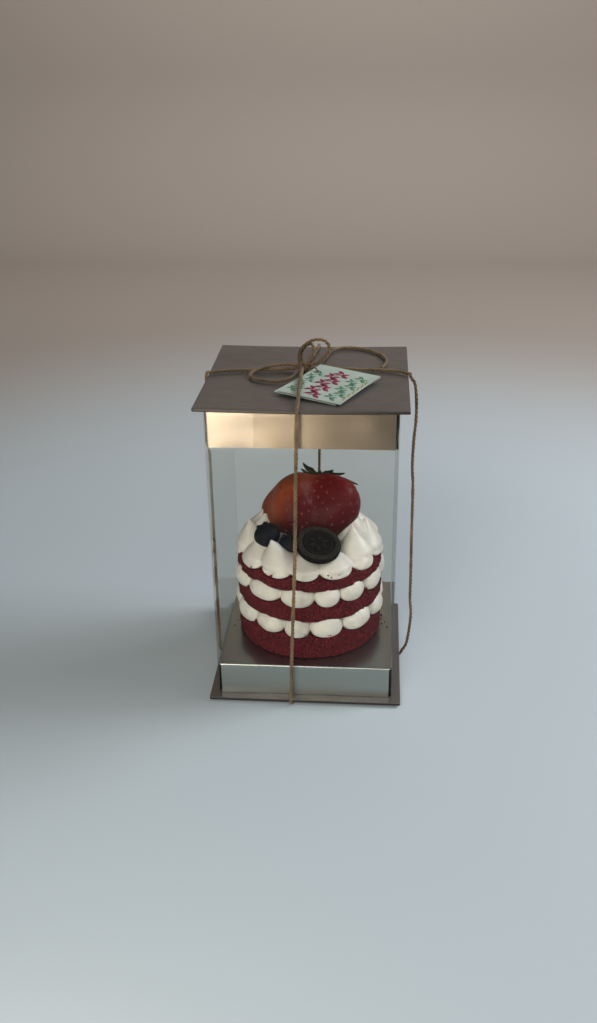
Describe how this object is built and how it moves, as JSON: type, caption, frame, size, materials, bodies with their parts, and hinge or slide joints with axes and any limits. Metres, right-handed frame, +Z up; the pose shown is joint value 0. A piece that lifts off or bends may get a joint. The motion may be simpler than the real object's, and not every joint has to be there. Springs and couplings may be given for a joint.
{
  "type": "boxed mini red velvet layer cake",
  "caption": "Round red velvet layer cake with piped cream, strawberry and berries, in a tall clear gift box with silver lid and base, tied with twine and a tag.",
  "frame": {"origin": "under the middle of the box, on the surface it stands on, where the strands of twine cross under the base", "axes": "+Z up, -Y towards the front where the picture was taken, +X to the right seen from the front"},
  "size_m": [0.1091, 0.1046, 0.181],
  "materials": {
    "twine": "twisted jute twine",
    "board": "foil-faced board, satin grey",
    "plinth_card": "foil-faced card, satin silver",
    "mirror_card": "foil-faced card, mirror silver",
    "clear_film": "clear film sleeve",
    "sponge": "open red sponge crumb",
    "cream": "whipped cream",
    "strawberry": "glossy berry skin with seeds",
    "leaf": "fresh leaf",
    "blueberry": "waxy berry skin",
    "biscuit": "baked dark cocoa biscuit",
    "tag_card": "printed tag card"
  },
  "bodies": {
    "root": {"twine_under": "twine", "base_board": "board", "plinth": "plinth_card", "sleeve": "clear_film", "lid_skirt": "mirror_card", "lid_board": "board", "sponge_bottom": "sponge", "cream_lower": "cream", "sponge_middle": "sponge", "cream_upper": "cream", "sponge_top": "sponge", "cream_top": "cream", "strawberry": "strawberry", "strawberry_calyx": "leaf", "blueberry_large": "blueberry", "blueberry_small": "blueberry", "biscuit": "biscuit", "tag": "tag_card", "twine": "twine"}
  },
  "joints": []
}
